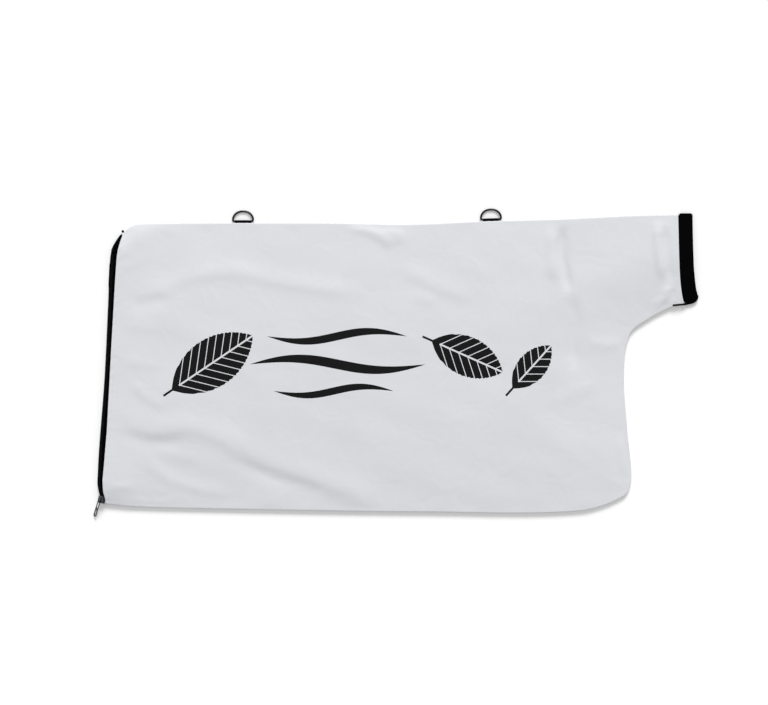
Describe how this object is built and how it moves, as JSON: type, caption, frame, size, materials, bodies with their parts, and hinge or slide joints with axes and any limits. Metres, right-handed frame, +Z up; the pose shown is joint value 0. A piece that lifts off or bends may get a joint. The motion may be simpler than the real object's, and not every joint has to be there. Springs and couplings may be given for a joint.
{
  "type": "blower vacuum collection bag",
  "caption": "Flat cloth collection bag with an elastic neck at one corner, a coil zip along the far end and metal D-rings on tape loops at the upper seam.",
  "frame": {"origin": "on the flat underside, below the middle of the bag's body", "axes": "+X along the bag from the zip to the neck, +Y across it to the seam with the rings, +Z up from the ground it lies on"},
  "size_m": [0.9076, 0.4635, 0.0182],
  "materials": {
    "cloth": "close plain-woven polyester, pale grey, soft sheen",
    "elastic": "black ribbed elastic tape",
    "zip_tape": "black woven zip tape",
    "webbing": "black woven narrow tape",
    "coil": "black nylon monofilament coil",
    "zinc": "die-cast zinc, dark nickel plated",
    "nickel": "nickel-plated steel wire"
  },
  "bodies": {
    "bag": {"front_panel": "cloth", "back_panel": "cloth", "neck_band": "elastic", "zip_tape_front": "zip_tape", "zip_tape_back": "zip_tape", "zip_coil_front": "coil", "zip_coil_back": "coil", "zip_top_stop_front": "zinc", "zip_top_stop_back": "zinc", "zip_bottom_stop": "coil", "ring_loop_left": "webbing", "ring_loop_right": "webbing"},
    "slider": {"zip_slider": "zinc"},
    "pull": {"zip_pull": "zinc"},
    "ring_left": {"d_ring_left": "nickel"},
    "ring_right": {"d_ring_right": "nickel"}
  },
  "joints": [
    {"name": "zip_slide", "type": "slide", "parent": "bag", "child": "slider", "axis": [0.0471, 0.9989, 0], "range_m": [0, 0.3665], "deforming": ["zip_coil_front", "zip_coil_back"]},
    {"name": "pull_hinge", "type": "hinge", "parent": "slider", "child": "pull", "pos_m": [-0.40148, -0.20023, 0.01061], "axis": [-0.6261, 0.4367, -0.646], "range_deg": [0, 130]},
    {"name": "ring_left_hinge", "type": "hinge", "parent": "bag", "child": "ring_left", "pos_m": [-0.1865, 0.21863, 0.0036], "axis": [1, 0.0012, 0], "range_deg": [-95, 110]},
    {"name": "ring_right_hinge", "type": "hinge", "parent": "bag", "child": "ring_right", "pos_m": [0.18643, 0.22144, 0.0036], "axis": [0.9996, 0.0297, 0], "range_deg": [-95, 110]}
  ]
}
